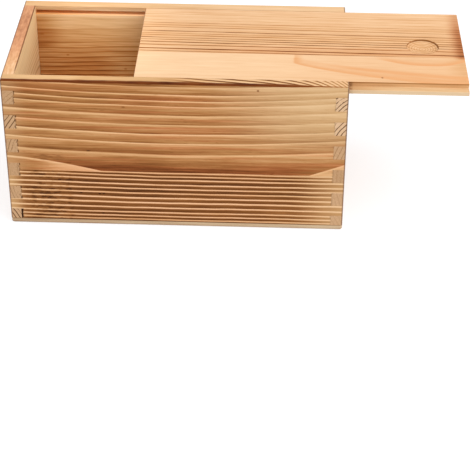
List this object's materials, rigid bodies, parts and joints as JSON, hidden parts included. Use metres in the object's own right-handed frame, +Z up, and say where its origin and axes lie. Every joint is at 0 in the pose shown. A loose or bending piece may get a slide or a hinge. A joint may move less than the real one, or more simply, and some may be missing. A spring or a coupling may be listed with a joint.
{
  "type": "sliding lid wooden box",
  "caption": "Finger-jointed wooden keepsake box with a rabbeted lid that slides out lengthwise in side grooves and has a round thumb recess",
  "frame": {"origin": "centre of the underside, where the box stands; the lid is drawn out to one side and isn't counted", "axes": "+X is the way the lid slides open, along the box's length; +Y is from the front to the back; +Z is up"},
  "size_m": [0.336, 0.13, 0.122],
  "materials": {
    "torched_pine": "satin, lightly torched grain",
    "pale_pine": "sanded",
    "lid_pine": "satin",
    "pin_steel": "bright drawn wire"
  },
  "bodies": {
    "box": {"front_upper_stave": "torched_pine", "front_lower_stave": "torched_pine", "back_upper_stave": "torched_pine", "back_lower_stave": "torched_pine", "closed_end": "torched_pine", "open_end": "torched_pine", "bottom_board": "pale_pine", "bottom_pins": "pin_steel"},
    "lid": {"lid_front_stave": "lid_pine", "lid_rear_stave": "lid_pine"}
  },
  "joints": [
    {"name": "lid_slide", "type": "slide", "parent": "box", "child": "lid", "axis": [1, 0, 0], "range_m": [-0.086, 0.13]}
  ]
}
